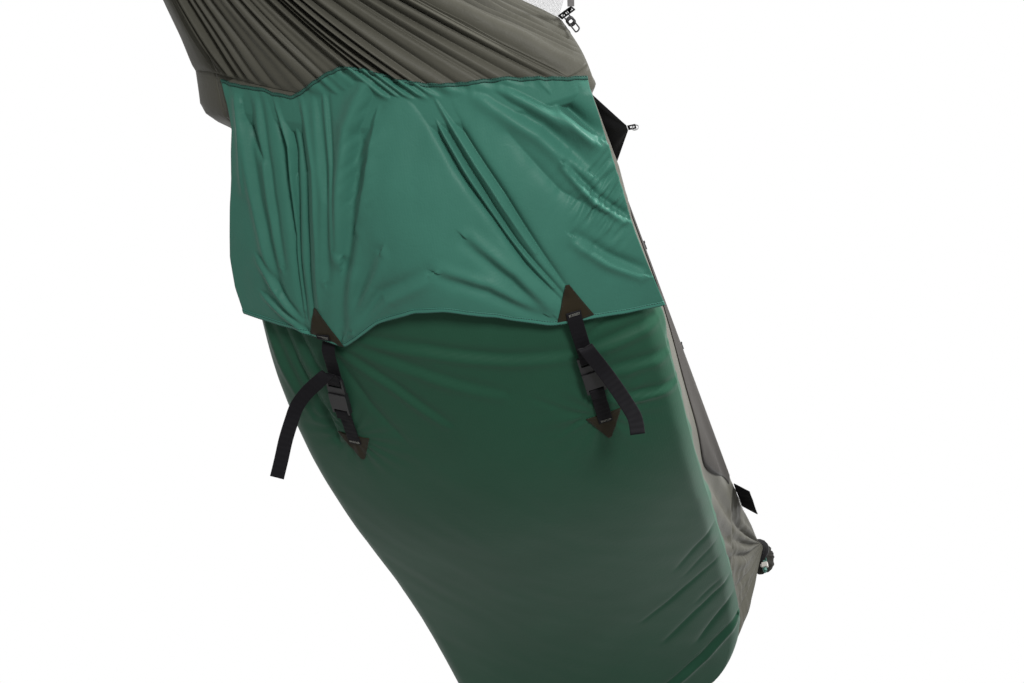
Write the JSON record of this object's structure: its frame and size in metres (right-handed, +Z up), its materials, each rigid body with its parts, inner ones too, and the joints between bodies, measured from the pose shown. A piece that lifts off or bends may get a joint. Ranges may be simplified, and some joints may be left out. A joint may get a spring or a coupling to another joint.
{
  "type": "hammock_tent",
  "caption": "Hammock tent hung at both gathered ends, with an under-bed pad sleeve, a buckled head flap, insect netting on a ridge line, and side tie-outs.",
  "frame": {"origin": "half way along the straight line between the two gathered ends, which the whole hammock hangs from and swings about", "axes": "X runs from the head anchor to the foot anchor, +Z is up, +Y is the sleeper's left side"},
  "size_m": [2.8584, 1.2269, 0.7112],
  "materials": {
    "taupe_nylon": "matt",
    "green_nylon": "matt",
    "flap_nylon": "matt",
    "pad_foam": "matt",
    "patch_cloth": "matt",
    "black_webbing": "matt",
    "black_plastic": "matt",
    "grey_plastic": "matt",
    "pale_plastic": "matt",
    "black_net": "matt",
    "cord_black": "matt",
    "cord_green": "matt",
    "sack_cloth": "matt",
    "alloy": "satin"
  },
  "bodies": {
    "hammock": {"bed_sheet": "taupe_nylon", "head_fan": "taupe_nylon", "foot_fan": "taupe_nylon", "under_shell": "green_nylon", "head_flap": "flap_nylon", "insulation_pad": "pad_foam", "left_upper_patch": "patch_cloth", "right_upper_patch": "patch_cloth", "left_lower_patch": "patch_cloth", "right_lower_patch": "patch_cloth", "left_upper_webbing": "black_webbing", "right_upper_webbing": "black_webbing", "left_lower_webbing": "black_webbing", "right_lower_webbing": "black_webbing", "zip_tape": "black_webbing", "right_tie_tab": "black_webbing", "left_tie_tab": "black_webbing", "wing_tab": "black_webbing", "corner_patch": "black_webbing", "foot_webbing_tab": "black_webbing", "left_buckle_female": "black_plastic", "right_buckle_female": "black_plastic", "head_cap": "black_plastic", "foot_cap": "black_plastic", "lead_knob": "black_plastic", "cord_lock": "pale_plastic", "net_left": "black_net", "net_head_right": "black_net", "net_door": "black_net", "door_wing": "black_net", "ridge_line": "cord_black", "head_bight": "cord_black", "foot_bight": "cord_black", "guy_line": "cord_black", "lead_cord": "cord_black", "sleeve_drawcord": "cord_green", "drawcord_bead": "cord_green", "storage_sleeve": "sack_cloth"},
    "anchors": {"head_link": "alloy", "foot_link": "alloy"},
    "head_collar": {"head_link_collar": "alloy"},
    "foot_collar": {"foot_link_collar": "alloy"},
    "left_release": {"left_buckle_male": "black_plastic", "left_tail_webbing": "black_webbing"},
    "right_release": {"right_buckle_male": "black_plastic", "right_tail_webbing": "black_webbing"},
    "head_slider": {"head_zip_slider": "black_plastic"},
    "head_pull": {"head_zip_pull": "black_plastic"},
    "foot_slider": {"foot_zip_slider": "black_plastic"},
    "foot_pull": {"foot_zip_pull": "black_plastic"},
    "lock_button": {"cord_lock_button": "pale_plastic"},
    "tensioner": {"guy_tensioner": "grey_plastic"},
    "left_ring": {"left_tie_ring": "alloy"},
    "wing_ring_body": {"wing_ring": "alloy"}
  },
  "joints": [
    {"name": "line_swing", "type": "hinge", "parent": "hammock", "child": "anchors", "pos_m": [0, 0, 0], "axis": [1, 0, 0], "range_deg": [-15, 15]},
    {"name": "head_collar_slide", "type": "slide", "parent": "anchors", "child": "head_collar", "axis": [-1, 0, 0], "range_m": [0, 0.0095]},
    {"name": "foot_collar_slide", "type": "slide", "parent": "anchors", "child": "foot_collar", "axis": [1, 0, 0], "range_m": [0, 0.0095]},
    {"name": "left_buckle_slide", "type": "slide", "parent": "hammock", "child": "left_release", "axis": [-0.9055, -0.3674, 0.2122], "range_m": [0, 0.022]},
    {"name": "right_buckle_slide", "type": "slide", "parent": "hammock", "child": "right_release", "axis": [-0.951, -0.2358, 0.2001], "range_m": [0, 0.022]},
    {"name": "head_slider_travel", "type": "slide", "parent": "hammock", "child": "head_slider", "axis": [0.9738, 0.2161, 0.0705], "range_m": [0, 0.3]},
    {"name": "head_pull_swing", "type": "hinge", "parent": "head_slider", "child": "head_pull", "pos_m": [-0.14894, -0.3316, -0.09388], "axis": [-0.2038, 0.6923, 0.6923], "range_deg": [-150, 0]},
    {"name": "foot_slider_travel", "type": "slide", "parent": "hammock", "child": "foot_slider", "axis": [0.9738, 0.2161, 0.0705], "range_m": [0, 0.3]},
    {"name": "foot_pull_swing", "type": "hinge", "parent": "foot_slider", "child": "foot_pull", "pos_m": [0.23626, -0.2461, -0.06598], "axis": [-0.2038, 0.6923, 0.6923], "range_deg": [-150, 0]},
    {"name": "lock_button_press", "type": "slide", "parent": "hammock", "child": "lock_button", "axis": [0, -1, 0], "range_m": [0, 0.003], "stiffness_N_per_m": 200, "springref_m": -0.001},
    {"name": "tensioner_slide", "type": "slide", "parent": "hammock", "child": "tensioner", "axis": [-0.8944, -0.4472, 0], "range_m": [0, 0.018]},
    {"name": "left_ring_swing", "type": "hinge", "parent": "hammock", "child": "left_ring", "pos_m": [0.9637, 0.46892, -0.155], "axis": [-0.9664, 0.2571, 0], "range_deg": [-20, 20]},
    {"name": "wing_ring_swing", "type": "hinge", "parent": "hammock", "child": "wing_ring_body", "pos_m": [-0.50868, -0.47831, -0.15485], "axis": [0.9762, 0.2167, 0], "range_deg": [-20, 20]}
  ]
}
